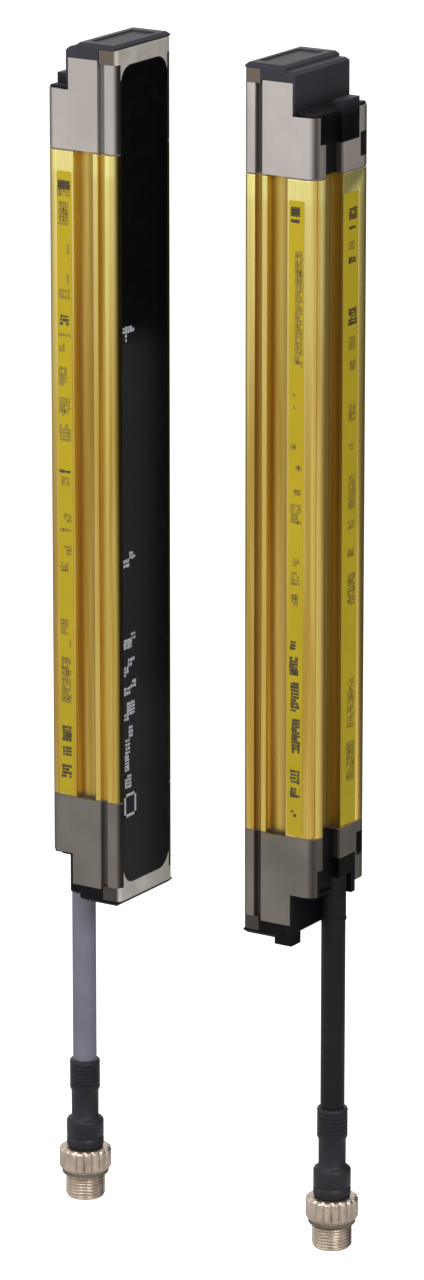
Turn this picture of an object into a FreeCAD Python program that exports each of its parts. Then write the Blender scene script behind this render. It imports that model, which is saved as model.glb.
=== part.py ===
import FreeCAD, Part
import math
import os

# Safety light curtain: an emitter bar and a receiver bar that face each other across the protected field.
# Both bars are the same housing, one turned half round. All sizes are in millimetres.
# A bar is drawn in its own frame: X runs from the window (0) to the back, Y across the window, Z up.
# The part's origin is on the receiver's back face, at mid height. +X points out of that face.

Vector = FreeCAD.Vector

# Overall sizes of one bar
bar_width = 30.0
bar_depth = 25.0
housing_length = 195.0
field_gap = 43.0

# Fits
fit_gap = 0.15
seat_gap = 0.1
running_gap = 0.3

# How far a cutting tool runs past the surface that it cuts, and two joined pieces run into each other
overrun = 1.0
weld = 0.5
match = 0.01

# Flat steps that turn the corner of a seal or a gasket
seal_corner_steps = 4

# Extruded housing section
rear_corner_radius = 4.4
front_corner_radius = 2.2
rim_front_width = 2.5
side_wall = 4.6
rear_wall = 7.0
groove_ridge = 1.6
groove_width = 2.5
groove_depth = 1.4
slot_port_gap = 3.4
slot_width = 6.8
slot_depth = 3.0
slot_lip = 1.2
slot_undercut = 0.7
channel_width = 9.8
channel_depth = 5.4
channel_lip = 1.3
channel_undercut = 0.6
corner_line_width = 0.8
corner_line_depth = 0.5
chamber_wall = 1.8
screw_port_radius = 1.15
screw_port_back = 6.7
screw_port_inset = 2.6
screw_port_depth = 12.0

# Front window and its seal
window_thickness = 1.8
window_end_inset = 1.7
window_corner_radius = 5.5
window_rib_depth = 1.3
window_rib_inset = 1.3
window_rib_end_gap = 4.6
seal_thickness = 0.4
seal_width = 0.9
seal_edge_inset = 0.1

# End caps, the same at the top and the bottom
cap_gasket = 0.5
cap_height = 27.0
cap_low_height = 17.5
cap_step_back = 8.5
cap_wall = 2.4
cap_flange = 2.6
cap_rim_drop = 1.0
latch_slot_gap = 0.6
latch_slot_width = 4.6
latch_slot_start = 3.0
latch_slot_height = 7.2
latch_slot_depth = 3.4

# Bezel round the rounded end of the window
bezel_depth = 5.8
bezel_rise = 4.2
bezel_pocket_wall = 1.2

# Black end cover
cover_top_thickness = 4.7
cover_front_step = 0.5
cover_back_overhang = 0.8
cover_edge_chamfer = 0.9
cover_rear_step = 3.4
cover_rear_drop = 1.5
cover_skirt_depth = 7.0
cover_skirt_wall = 1.6
cover_floor = 0.8
cover_floor_inset = 1.4
tray_depth = 0.5
tray_inset = 2.8
tray_side_inset = 4.2
foot_length = 5.8
foot_width = 5.2
foot_inset = 0.5
foot_rise = 1.8
tab_drop = 7.8
tab_width = 2.0
lug_width = 8.6
lug_depth = 3.6
lug_drop = 8.7
lug_rise = 3.3
key_setback = 2.4

# Optics and electronics behind the window
beam_pitch = 20.0
board_end_inset = 5.3
lens_plate_x = 4.4
lens_plate_thickness = 1.4
lens_side = 12.4
lens_rise = 0.9
lens_chamfer = 0.6
carrier_side_inset = 3.0
aperture_side = 8.4
board_thickness = 1.4
led_side = 3.4
led_height = 1.6
led_dome_side = 2.4
led_dome_height = 1.1
diode_side = 4.6
diode_height = 1.3
control_board_inset = 3.4
control_board_length = 74.0
control_board_lift = 1.3
control_board_back_gap = 0.5
control_board_end_gap = 3.0
header_width = 3.0
header_length = 24.0
light_pipe_side = 1.6
light_pipe_inset = 1.4
light_pipe_count = 5
light_pipe_pitch = 10.0
light_pipe_rise = 53.5
light_pipe_base = 0.8

# Labels
back_label_width = 8.2
label_thickness = 0.15
label_edge_gap = 0.1
label_top_gap = 6.0
label_bottom_gap = 0.6

# Cap screws
screw_shank_radius = 1.05
screw_head_radius = 2.1
screw_head_height = 1.5
screw_shank_length = 11.0
screw_recess_radius = 0.9
screw_recess_depth = 0.8
screw_sides = 6
head_sides = 8

# Cable, gland and round plug
cable_diameter = 7.2
cable_y = 1.6
gland_radius = 3.9
gland_seat = 3.0
gland_length = 11.0
gland_lip = 1.0
gland_waist = 0.15
gland_sides = 24
cable_length = 58.5
grip_radius = 4.6
grip_edge = 0.5
grip_taper = 1.0
grip_length = 9.0
grip_waist_radius = 4.1
grip_waist_length = 10.0
collar_radius = 5.65
collar_taper = 0.8
collar_length = 9.0
grip_sides = 24
nut_radius = 7.9
nut_length = 7.2
knurl_count = 18
knurl_depth = 0.55
knurl_land_share = 0.55
thread_radius = 6.0
thread_length = 8.7
thread_bore_radius = 4.6
thread_lead_in = 0.6
thread_root_depth = 0.7
nut_bore_radius = 4.0
insert_face_depth = 6.6
insert_sides = 20
insert_key_side = 1.2
pin_circle_radius = 2.7
pin_count = 7
pin_radius = 0.5
pin_sides = 6
pin_stand_out = 5.4
ring_radius = 7.2
ring_sides = 24
ring_thickness = 1.2

# Worked out from the sizes above
half_width = bar_width / 2
half_length = housing_length / 2
lip_x = window_thickness + seal_thickness
pocket_half = half_width - rim_front_width
window_half_width = pocket_half - fit_gap
rib_half = window_half_width - window_rib_inset
cavity_half = half_width - side_wall
cavity_back = bar_depth - rear_wall
mouth_floor = window_thickness + window_rib_depth + fit_gap
mouth_half = rib_half + fit_gap
screw_port_x = bar_depth - screw_port_back
screw_port_y = half_width - screw_port_inset
slot_end = screw_port_x - slot_port_gap
slot_start = slot_end - slot_width
groove_start = slot_start - groove_ridge - groove_width
channel_near_edge = rear_corner_radius - half_width
channel_far_edge = channel_near_edge + channel_width
channel_floor = bar_depth - channel_depth
cap_step_x = bar_depth - cap_step_back
cap_start = half_length + cap_gasket
cap_top = half_length + cap_gasket + cap_height
cap_low_top = half_length + cap_gasket + cap_low_height
window_half_height = cap_top - window_end_inset
latch_slot_y = channel_far_edge + lug_width + latch_slot_gap
rim_top = cap_top - cap_rim_drop
bezel_top = rim_top + bezel_rise
cover_top = cap_top + cover_top_thickness
cover_back = cap_step_x + cover_back_overhang
lens_plate_back = lens_plate_x + lens_plate_thickness
carrier_x = lens_plate_back + seat_gap
carrier_half_width = cavity_half - carrier_side_inset
control_board_x = cavity_back - control_board_back_gap - board_thickness
control_board_half_width = cavity_half - control_board_inset
board_x = control_board_x - control_board_lift - board_thickness
board_half_height = window_half_height - board_end_inset
beam_count = int((2 * board_half_height - lens_side) / beam_pitch) + 1
side_label_start = slot_end + slot_undercut
side_label_end = bar_depth - rear_corner_radius
light_pipe_y = cavity_half - light_pipe_inset
light_pipe_first = light_pipe_rise - half_length
gland_top = -(cap_low_top - gland_seat)
cable_x = bar_depth - cable_diameter / 2
cable_start = -cap_low_top - gland_length
cable_end = cable_start - cable_length
grip_end = cable_end - grip_length
waist_end = grip_end - grip_waist_length
collar_end = waist_end - collar_length
nut_end = collar_end - nut_length
thread_end = nut_end - thread_length
thread_root_radius = thread_radius - thread_root_depth


def block(x0, x1, y0, y1, z0, z1):
    """A rectangular block between two corners."""
    return Part.makeBox(x1 - x0, y1 - y0, z1 - z0, Vector(x0, y0, z0))


def rod(radius, x, y, z0, z1):
    """An upright round bar between two heights."""
    return Part.makeCylinder(radius, z1 - z0, Vector(x, y, z0), Vector(0, 0, 1))


def prism(sides, radius, x, y, z0, z1):
    """An upright bar with a few flat sides, its corners at the radius."""
    turns = [2 * math.pi * index / sides for index in range(sides)]
    corners = [Vector(x + radius * math.cos(turn), y + radius * math.sin(turn), z0) for turn in turns]
    return Part.Face(Part.makePolygon(corners + [corners[0]])).extrude(Vector(0, 0, z1 - z0))


def room(sides, radius, x, y, z0, z1):
    """A few-sided hole that clears a round bar of the radius."""
    return prism(sides, radius / math.cos(math.pi / sides), x, y, z0, z1)


def stacked(sides, rings):
    """A flat-sided turning, drawn round the upright axis through rings of (radius, height)."""
    turns = [2 * math.pi * index / sides for index in range(sides)]
    loops = []
    for radius, z in rings:
        loops.append([Vector(radius * math.cos(turn), radius * math.sin(turn), z) for turn in turns])
    faces = [Part.Face(Part.makePolygon(loop + [loop[0]])) for loop in (loops[0], loops[-1])]
    for upper, lower in zip(loops, loops[1:]):
        for index in range(sides):
            after = (index + 1) % sides
            corners = [upper[index], lower[index], lower[after], upper[after], upper[index]]
            faces.append(Part.Face(Part.makePolygon(corners)))
    shell = Part.makeShell(faces)
    shell.sewShape()
    solid = Part.Solid(shell)
    if solid.Volume < 0:
        solid.reverse()
    return solid


def join(first, *others):
    """One clean solid from several that touch."""
    return first.fuse(list(others)).removeSplitter()


def cut(base, *tools):
    """The base with every tool taken away."""
    return base.cut(list(tools)).removeSplitter()


def upright_edges(shape, x):
    """The upright edges of a shape at one depth."""
    found = []
    for edge in shape.Edges:
        if abs(edge.tangentAt(edge.FirstParameter).z) > 1 - match and abs(edge.CenterOfMass.x - x) < match:
            found.append(edge)
    return found


def bar_blank(z0, z1):
    """A solid length of the bar's outline, all four upright corners rounded."""
    blank = block(0.0, bar_depth, -half_width, half_width, z0, z1)
    blank = blank.makeFillet(rear_corner_radius, upright_edges(blank, bar_depth))
    return blank.makeFillet(front_corner_radius, upright_edges(blank, 0.0))


def both_sides(shape):
    """The shape and its mirror image across the bar's middle plane."""
    return [shape, shape.mirror(Vector(0, 0, 0), Vector(0, 1, 0))]


def side_groove(z0, z1):
    """The narrow groove behind the front rim, on the near side."""
    y0 = -half_width - overrun
    return block(groove_start, groove_start + groove_width, y0, -half_width + groove_depth, z0, z1)


def side_slot(z0, z1):
    """The undercut mounting slot, on the near side."""
    y0 = -half_width - overrun
    mouth = block(slot_start, slot_start + slot_width, y0, -half_width + slot_depth, z0, z1)
    x0 = slot_start - slot_undercut
    x1 = slot_start + slot_width + slot_undercut
    undercut = block(x0, x1, -half_width + slot_lip, -half_width + slot_depth, z0, z1)
    return mouth.fuse(undercut)


def back_channel(z0, z1):
    """The undercut channel in the back, to one side of the middle."""
    y0 = channel_near_edge - channel_undercut
    y1 = channel_far_edge + channel_undercut
    mouth = block(channel_floor, bar_depth + overrun, channel_near_edge, channel_far_edge, z0, z1)
    undercut = block(channel_floor, bar_depth - channel_lip, y0, y1, z0, z1)
    return mouth.fuse(undercut)


def corner_line(z0, z1):
    """The fine line that runs up the rounded near corner."""
    centre_x = bar_depth - rear_corner_radius
    centre_y = -half_width + rear_corner_radius
    x0 = centre_x + rear_corner_radius - corner_line_depth
    x1 = centre_x + rear_corner_radius + overrun
    half = corner_line_width / 2
    strip = block(x0, x1, centre_y - half, centre_y + half, z0, z1)
    return strip.rotate(Vector(centre_x, centre_y, 0), Vector(0, 0, 1), -45)


def window_pocket(z0, z1):
    """The shallow pocket between the front rims that the window drops into."""
    return block(-overrun, lip_x, -pocket_half, pocket_half, z0, z1)


def label_seat():
    """The shallow seat that sinks the back label flush with the housing's back."""
    z0 = -half_length + label_bottom_gap - label_edge_gap
    z1 = half_length - label_top_gap + label_edge_gap
    y0 = channel_far_edge + label_edge_gap
    y1 = y0 + back_label_width + 2 * label_edge_gap
    return block(bar_depth - label_thickness, bar_depth + overrun, y0, y1, z0, z1)


def make_housing():
    """The extruded aluminium housing, open at the front for the window."""
    z0 = -half_length
    z1 = half_length
    blank = bar_blank(z0, z1)
    cavity = block(lip_x - overrun, cavity_back, -cavity_half, cavity_half, z0, z1)
    mouth = block(lip_x - overrun, mouth_floor, -mouth_half, mouth_half, z0, z1)
    chamber_y0 = channel_far_edge + channel_undercut + chamber_wall
    chamber_y1 = half_width - rear_corner_radius
    chamber = block(cavity_back + chamber_wall, bar_depth - chamber_wall, chamber_y0, chamber_y1, z0, z1)
    tools = [window_pocket(z0, z1), cavity, mouth, chamber, back_channel(z0, z1), label_seat()]
    tools += both_sides(corner_line(z0, z1))
    tools += both_sides(side_groove(z0, z1)) + both_sides(side_slot(z0, z1))
    for end in (z0, z1 - screw_port_depth):
        port = room(screw_sides, screw_port_radius, screw_port_x, -screw_port_y, end, end + screw_port_depth)
        tools += both_sides(port)
    return cut(blank, *tools)


def rounded_plate(x0, x1, half_y, half_z, radius):
    """A plate across the bar with four rounded corners, seen from the front."""
    plate = block(x0, x1, -half_y, half_y, -half_z, half_z)
    corners = [edge for edge in plate.Edges if abs(edge.tangentAt(edge.FirstParameter).x) > 1 - match]
    return plate.makeFillet(radius, corners)


def rounded_points(u0, u1, v0, v1, radii):
    """Points round a rectangle whose four corners are turned in flat steps."""
    centres = [
        (u1 - radii[0], v1 - radii[0]),
        (u0 + radii[1], v1 - radii[1]),
        (u0 + radii[2], v0 + radii[2]),
        (u1 - radii[3], v0 + radii[3]),
    ]
    points = []
    for quarter, (u, v) in enumerate(centres):
        for step in range(seal_corner_steps + 1):
            turn = math.pi / 2 * (quarter + step / seal_corner_steps)
            points.append((u + radii[quarter] * math.cos(turn), v + radii[quarter] * math.sin(turn)))
    return points


def seal_plate(x0, x1, half_y, half_z, radius):
    """A plate across the bar, four corners turned in flat steps."""
    points = rounded_points(-half_y, half_y, -half_z, half_z, [radius] * 4)
    loop = [Vector(x0, u, v) for u, v in points]
    return Part.Face(Part.makePolygon(loop + [loop[0]])).extrude(Vector(x1 - x0, 0, 0))


def make_window():
    """The dark front window, one piece from end to end, with a rib that drops into the housing's mouth."""
    plate = rounded_plate(0.0, window_thickness, window_half_width, window_half_height, window_corner_radius)
    rib_z = window_half_height - window_rib_end_gap
    rib = block(window_thickness, window_thickness + window_rib_depth, -rib_half, rib_half, -rib_z, rib_z)
    return join(plate, rib)


def make_window_seal():
    """The flat seal that runs all the way round, under the window's edge."""
    half_y = window_half_width - seal_edge_inset
    half_z = window_half_height - seal_edge_inset
    radius = window_corner_radius - seal_edge_inset
    outer = seal_plate(window_thickness, lip_x, half_y, half_z, radius)
    inner_radius = radius - seal_width
    x0 = window_thickness - overrun
    x1 = lip_x + overrun
    return outer.cut(seal_plate(x0, x1, half_y - seal_width, half_z - seal_width, inner_radius))


def cap_hollow(z0, z1):
    """The space inside an end cap."""
    inner = half_width - cap_wall - groove_depth
    return block(lip_x + cap_wall, cavity_back, -inner, inner, z0, z1)


def cover_rear_pockets(gap):
    """What the cover holds behind the step: key in the channel, near tab and far lug, grown by a gap."""
    pocket_top = cap_low_top + overrun
    x1 = bar_depth + overrun
    key = block(channel_floor, x1, channel_near_edge, channel_far_edge, cap_start - overrun, pocket_top)
    tab_y0 = channel_near_edge - tab_width - gap
    tab_z0 = cap_low_top - tab_drop - gap
    tab_x0 = bar_depth - lug_depth - gap
    tab = block(tab_x0, x1, tab_y0, channel_near_edge + overrun, tab_z0, pocket_top)
    lug_z0 = cap_low_top - lug_drop - gap
    lug_y1 = channel_far_edge + lug_width + gap
    lug = block(tab_x0, x1, channel_far_edge - overrun, lug_y1, lug_z0, pocket_top)
    return [key, tab, lug]


def make_end_cap():
    """The silver end cap at the top: side panels, front rims, low rear part and screw flange."""
    blank = bar_blank(cap_start, cap_top)
    side = half_width + overrun
    under = cap_start - overrun
    above = cap_top + overrun
    behind = bar_depth + overrun
    rear_step = block(cap_step_x, behind, -side, side, cap_low_top, above)
    hollow = cap_hollow(cap_start + cap_flange, above)
    wiring_hole = block(lip_x + cap_wall, cap_step_x, -cavity_half, cavity_half, under, cap_top)
    mouth_top = window_half_height - window_rib_end_gap + fit_gap
    mouth = block(lip_x - overrun, lip_x + cap_wall + overrun, -mouth_half, mouth_half, under, mouth_top)
    rim_cut = block(-overrun, groove_start + groove_width, -side, side, rim_top, above)
    slot_z0 = cap_start + latch_slot_start
    slot_z1 = slot_z0 + latch_slot_height
    slot_y1 = latch_slot_y + latch_slot_width
    latch_slot = block(bar_depth - latch_slot_depth, behind, latch_slot_y, slot_y1, slot_z0, slot_z1)
    tools = [rear_step, hollow, wiring_hole, mouth, rim_cut, latch_slot, window_pocket(under, above)]
    tools += cover_rear_pockets(seat_gap)
    tools += both_sides(side_groove(under, above))
    head_z = cap_start + cap_flange
    port = room(screw_sides, screw_port_radius, screw_port_x, -screw_port_y, under, head_z + overrun)
    head_radius = screw_head_radius + fit_gap
    head_room = room(head_sides, head_radius, screw_port_x, -screw_port_y, head_z, cap_low_top + overrun)
    tools += both_sides(port) + both_sides(head_room)
    return cut(blank, *tools)


def make_cap_gasket():
    """The thin gasket between the housing's end and the cap."""
    z0 = half_length
    z1 = cap_start
    half = half_width - seat_gap
    rear = rear_corner_radius - seat_gap
    front = front_corner_radius - seat_gap
    points = rounded_points(seat_gap, bar_depth - seat_gap, -half, half, [rear, front, front, rear])
    loop = [Vector(u, v, z0) for u, v in points]
    blank = Part.Face(Part.makePolygon(loop + [loop[0]])).extrude(Vector(0, 0, z1 - z0))
    hole = block(lip_x - overrun, cavity_back, -cavity_half, cavity_half, z0, z1)
    mouth = block(lip_x - overrun, mouth_floor, -mouth_half, mouth_half, z0, z1)
    tools = [window_pocket(z0, z1), hole, mouth, back_channel(z0, z1)]
    tools += both_sides(side_groove(z0, z1)) + both_sides(side_slot(z0, z1))
    tools += both_sides(room(screw_sides, screw_port_radius, screw_port_x, -screw_port_y, z0, z1))
    return cut(blank, *tools)


def make_bezel():
    """The metal trim round the window's rounded end: a band over the rims and a tongue between them."""
    band = block(0.0, bezel_depth, -half_width, half_width, rim_top, bezel_top)
    band = band.makeFillet(front_corner_radius, upright_edges(band, 0.0))
    tongue_z = window_half_height - window_corner_radius
    half = window_half_width
    tongue = block(0.0, window_thickness, -half, half, tongue_z, rim_top + weld)
    opening_z = window_half_height + fit_gap
    x1 = window_thickness + overrun
    opening = rounded_plate(-overrun, x1, half + fit_gap, opening_z, window_corner_radius)
    hollow_half = half_width - bezel_pocket_wall
    hollow_x1 = bezel_depth - bezel_pocket_wall
    hollow_top = bezel_top - bezel_pocket_wall
    hollow = block(lip_x, hollow_x1, -hollow_half, hollow_half, rim_top - overrun, hollow_top)
    return cut(join(band, tongue), opening, hollow)


def top_chamfered(x0, x1, half_y, z0, z1, chamfer):
    """A plate with all four of its top edges chamfered."""
    plate = block(x0, x1, -half_y, half_y, z0, z1)
    top_edges = [edge for edge in plate.Edges if abs(edge.CenterOfMass.z - z1) < match]
    return plate.makeChamfer(chamfer, top_edges)


def cover_plate():
    """The cover's thick top with its sunk tray and lower rear strip, cut away over the bezel."""
    low_top = cover_top - cover_rear_drop
    high_back = cover_back - cover_rear_step
    chamfer = cover_edge_chamfer
    high = top_chamfered(cover_front_step, high_back, half_width, cap_top, cover_top, chamfer)
    low = top_chamfered(high_back - 2 * chamfer, cover_back, half_width, cap_top, low_top, chamfer)
    bezel_x1 = bezel_depth + fit_gap
    bezel_room = block(-overrun, bezel_x1, -half_width, half_width, cap_top - overrun, bezel_top + seat_gap)
    tray_half = half_width - tray_side_inset
    tray_z0 = cover_top - tray_depth
    tray = block(tray_inset, high_back - tray_inset, -tray_half, tray_half, tray_z0, cover_top + overrun)
    return cut(join(high, low), bezel_room, tray)


def cover_foot():
    """The small block at one rear corner of the bottom cover, drawn at the top like the cover itself."""
    x1 = cover_back - foot_inset
    y0 = -half_width + foot_inset
    z0 = cover_top - cover_rear_drop - weld
    return block(x1 - foot_length, x1, y0, y0 + foot_width, z0, cover_top + foot_rise)


def cover_skirt():
    """The hollow skirt that drops into the cap behind the bezel."""
    half = half_width - cap_wall - groove_depth - fit_gap
    x0 = bezel_depth + fit_gap
    z0 = cap_top - cover_skirt_depth
    skirt = block(x0, cap_step_x, -half, half, z0, cap_top + weld)
    inner_x0 = x0 + cover_skirt_wall
    inner_x1 = cap_step_x - cover_skirt_wall
    inner_half = half - cover_skirt_wall
    hollow = block(inner_x0, inner_x1, -inner_half, inner_half, z0 - overrun, cap_top)
    return cut(skirt, hollow)


def cover_rear():
    """The cover's rear wall, low floor, channel key, near tab and far lug."""
    x0 = cap_step_x + seat_gap
    wall = block(x0, cover_back, -half_width, half_width, cap_low_top, cap_top + weld)
    floor_half = half_width - cover_floor_inset
    floor_back = bar_depth - cover_floor_inset
    floor = block(x0, floor_back, -floor_half, floor_half, cap_low_top, cap_low_top + cover_floor)
    joint_z = cap_low_top + weld
    key_x1 = bar_depth - key_setback
    key_y0 = channel_near_edge + fit_gap
    key_y1 = channel_far_edge - fit_gap
    key = block(channel_floor + fit_gap, key_x1, key_y0, key_y1, cap_start, joint_z)
    tab_x0 = bar_depth - lug_depth
    tab_y0 = channel_near_edge - tab_width
    tab_y1 = channel_near_edge + weld
    tab = block(tab_x0, floor_back, tab_y0, tab_y1, cap_low_top - tab_drop, joint_z)
    lug_y0 = channel_far_edge - weld
    lug_y1 = channel_far_edge + lug_width
    lug = block(tab_x0, bar_depth, lug_y0, lug_y1, cap_low_top - lug_drop, cap_low_top + lug_rise)
    return join(wall, floor, key, tab, lug)


def make_cover(at_bottom):
    """The black end cover: thick plate, skirt inside the cap, rear wall, floor, key, tab and lug."""
    shell = join(cover_plate(), cover_skirt(), cover_rear())
    if at_bottom:
        shell = cut(join(shell, cover_foot()), gland_room())
    return shell


def gland_room():
    """The open-backed seat of the cable gland, drawn at the top end like the cap it is cut from."""
    radius = gland_radius + seat_gap
    z0 = cap_low_top - gland_seat
    z1 = cap_top + overrun
    hole = rod(radius, cable_x, cable_y, z0, z1)
    way_out = block(cable_x, bar_depth + overrun, cable_y - radius, cable_y + radius, z0, z1)
    return hole.fuse(way_out)


def make_gland():
    """The bend relief where the cable leaves the bottom cap, flat where it meets the back plane."""
    waist = gland_radius - gland_waist
    sleeve = prism(gland_sides, waist, cable_x, cable_y, cable_start + gland_lip, gland_top)
    lip = prism(gland_sides, gland_radius, cable_x, cable_y, cable_start, cable_start + gland_lip)
    y0 = cable_y - gland_radius - overrun
    y1 = cable_y + gland_radius + overrun
    x1 = cable_x + gland_radius + overrun
    behind = block(bar_depth, x1, y0, y1, cable_start - overrun, gland_top + overrun)
    return cut(join(sleeve, lip), behind)


def beam_heights():
    """The height of each beam, evenly spaced about the middle."""
    first = -beam_pitch * (beam_count - 1) / 2
    return [first + beam_pitch * index for index in range(beam_count)]


def make_lens_strip():
    """The clear strip of square lens cells in front of the apertures."""
    z1 = board_half_height
    plate = block(lens_plate_x, lens_plate_back, -carrier_half_width, carrier_half_width, -z1, z1)
    half = lens_side / 2
    front = lens_plate_x - lens_rise
    lenses = []
    for z in beam_heights():
        cell = block(front, lens_plate_x + lens_plate_thickness / 2, -half, half, z - half, z + half)
        rim = [edge for edge in cell.Edges if abs(edge.CenterOfMass.x - front) < match]
        lenses.append(cell.makeChamfer(lens_chamfer, rim))
    return join(plate, *lenses)


def make_optics_carrier():
    """The dark bar between lenses and board, with one square aperture for each beam."""
    x1 = board_x - seat_gap
    z1 = board_half_height
    bar = block(carrier_x, x1, -carrier_half_width, carrier_half_width, -z1, z1)
    half = aperture_side / 2
    x0 = carrier_x - overrun
    holes = [block(x0, x1 + overrun, -half, half, z - half, z + half) for z in beam_heights()]
    return cut(bar, *holes)


def make_beam_board():
    """The long circuit board that the beam parts stand on."""
    half = cavity_half - running_gap
    x1 = board_x + board_thickness
    return block(board_x, x1, -half, half, -board_half_height, board_half_height)


def make_beam_leds():
    """One infrared lamp for each beam: a square package with a raised lens."""
    lamps = []
    half = led_side / 2
    dome_half = led_dome_side / 2
    front = board_x - led_height
    for z in beam_heights():
        package = block(front, board_x, -half, half, z - half, z + half)
        dome = block(front - led_dome_height, front, -dome_half, dome_half, z - dome_half, z + dome_half)
        lamps.append(join(package, dome))
    return Part.makeCompound(lamps)


def make_photodiodes():
    """One flat receiver diode for each beam."""
    half = diode_side / 2
    return Part.makeCompound([block(board_x - diode_height, board_x, -half, half, z - half, z + half)
                              for z in beam_heights()])


def make_control_board():
    """The second board, carried on a header behind the beam board."""
    z0 = -half_length + control_board_end_gap
    z1 = z0 + control_board_length
    half = control_board_half_width
    board = block(control_board_x, control_board_x + board_thickness, -half, half, z0, z1)
    mid = (z0 + z1) / 2
    x0 = board_x + board_thickness
    y1 = header_width / 2
    header = block(x0, control_board_x + weld, -y1, y1, mid - header_length / 2, mid + header_length / 2)
    return join(board, header)


def make_light_pipe():
    """The clear comb that carries the indicator lights from the board to the window."""
    half = light_pipe_side / 2
    last = light_pipe_first - light_pipe_pitch * (light_pipe_count - 1)
    y0 = light_pipe_y - half
    y1 = light_pipe_y + half
    base = block(board_x - light_pipe_base, board_x, y0, y1, last - half, light_pipe_first + half)
    front = window_thickness + window_rib_depth + running_gap
    pipes = []
    for index in range(light_pipe_count):
        z = light_pipe_first - light_pipe_pitch * index
        pipes.append(block(front, board_x - light_pipe_base, y0, y1, z - half, z + half))
    return join(base, *pipes)


def make_side_label(side):
    """The long label strip on a side land, side is -1 or +1 across the bar."""
    z0 = -half_length + label_bottom_gap
    z1 = half_length - label_top_gap
    y0 = -half_width - label_thickness
    label = block(side_label_start, side_label_end, y0, -half_width, z0, z1)
    if side > 0:
        label = label.mirror(Vector(0, 0, 0), Vector(0, 1, 0))
    return label


def make_back_label():
    """The label strip on the wide land beside the back channel, flush with the back."""
    z0 = -half_length + label_bottom_gap
    z1 = half_length - label_top_gap
    y0 = channel_far_edge + 2 * label_edge_gap
    return block(bar_depth - label_thickness, bar_depth, y0, y0 + back_label_width, z0, z1)


def make_cap_screws():
    """The two screws that pull the cap onto the housing."""
    head_z = cap_start + cap_flange
    head_top = head_z + screw_head_height
    shank_z = head_z - screw_shank_length
    y = -screw_port_y
    shank = prism(screw_sides, screw_shank_radius, screw_port_x, y, shank_z, head_z)
    head = prism(head_sides, screw_head_radius, screw_port_x, y, head_z, head_top)
    recess = prism(screw_sides, screw_recess_radius, screw_port_x, y, head_top - screw_recess_depth, head_top)
    return Part.makeCompound(both_sides(cut(join(shank, head), recess)))


def cable_route():
    """The points that the cable follows, straight down from the gland to the plug."""
    return [Vector(cable_x, cable_y, cable_start), Vector(cable_x, cable_y, cable_end)]


def make_cable():
    """The cable, one straight run."""
    start, end = cable_route()
    radius = cable_diameter / 2
    tube = Part.makeCylinder(radius, (start - end).Length, end, Vector(0, 0, 1))
    print("cable", round((start - end).Length, 2), "mm, volume over section times length",
          round(tube.Volume / (math.pi * radius ** 2 * (start - end).Length), 4))
    return tube


def make_plug_body():
    """The moulded grip behind the coupling nut: grip, waist and collar."""
    rings = [
        (grip_radius - grip_edge, cable_end),
        (grip_radius, cable_end - grip_edge),
        (grip_radius, grip_end),
        (grip_waist_radius, grip_end - grip_taper),
        (grip_waist_radius, waist_end + collar_taper),
        (collar_radius, waist_end),
        (collar_radius, collar_end),
    ]
    body = stacked(grip_sides, rings)
    body.translate(Vector(cable_x, cable_y, 0))
    return body


def knurled_outline(z):
    """The nut's outline: a serrated ring of flat lands and V cuts."""
    land = knurl_land_share / 2
    valley = nut_radius - knurl_depth
    points = []
    for index in range(knurl_count):
        for share, radius in ((-land, nut_radius), (land, nut_radius), (0.5, valley)):
            angle = 2 * math.pi * (index + share) / knurl_count
            points.append(Vector(radius * math.cos(angle), radius * math.sin(angle), z))
    return Part.Face(Part.makePolygon(points + [points[0]]))


def make_plug_nut():
    """The knurled coupling nut with its threaded sleeve, and the groove at the thread's root."""
    head = knurled_outline(nut_end).extrude(Vector(0, 0, nut_length))
    root_end = nut_end - ring_thickness - seat_gap
    sleeve = rod(thread_radius, 0, 0, thread_end, root_end)
    end_edges = [edge for edge in sleeve.Edges if abs(edge.CenterOfMass.z - thread_end) < match]
    sleeve = sleeve.makeChamfer(thread_lead_in, end_edges)
    root = prism(ring_sides, thread_root_radius, 0, 0, root_end, nut_end)
    bore = room(insert_sides, thread_bore_radius, 0, 0, thread_end - overrun, nut_end)
    neck = room(insert_sides, nut_bore_radius, 0, 0, nut_end - overrun, collar_end + overrun)
    nut = cut(join(head, root, sleeve), bore, neck)
    nut.translate(Vector(cable_x, cable_y, 0))
    return nut


def make_plug_insert():
    """The contact carrier inside the nut, with its coding key."""
    face_z = thread_end + insert_face_depth
    body_radius = nut_bore_radius - fit_gap
    nose_radius = thread_bore_radius - fit_gap
    body = prism(insert_sides, body_radius, cable_x, cable_y, nut_end - fit_gap, collar_end)
    nose = prism(insert_sides, nose_radius, cable_x, cable_y, face_z, nut_end - fit_gap)
    key_x1 = cable_x + nose_radius - fit_gap
    key_x0 = key_x1 - insert_key_side
    half = insert_key_side / 2
    key = block(key_x0, key_x1, cable_y - half, cable_y + half, face_z - pin_stand_out, face_z)
    return join(body, nose, key)


def make_plug_pins():
    """The ring of contact pins and one in the middle, standing on the insert's face."""
    face_z = thread_end + insert_face_depth
    pin_end = face_z - pin_stand_out
    pins = [prism(pin_sides, pin_radius, cable_x, cable_y, pin_end, face_z)]
    for index in range(pin_count):
        angle = 2 * math.pi * (index + 0.5) / pin_count
        x = cable_x + pin_circle_radius * math.cos(angle)
        y = cable_y + pin_circle_radius * math.sin(angle)
        pins.append(prism(pin_sides, pin_radius, x, y, pin_end, face_z))
    return Part.makeCompound(pins)


def make_plug_ring():
    """The sealing ring in the groove at the thread's root."""
    z0 = nut_end - ring_thickness
    outer = prism(ring_sides, ring_radius, cable_x, cable_y, z0, nut_end)
    inner_radius = thread_root_radius + seat_gap
    return outer.cut(room(ring_sides, inner_radius, cable_x, cable_y, z0 - overrun, nut_end + overrun))


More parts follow.
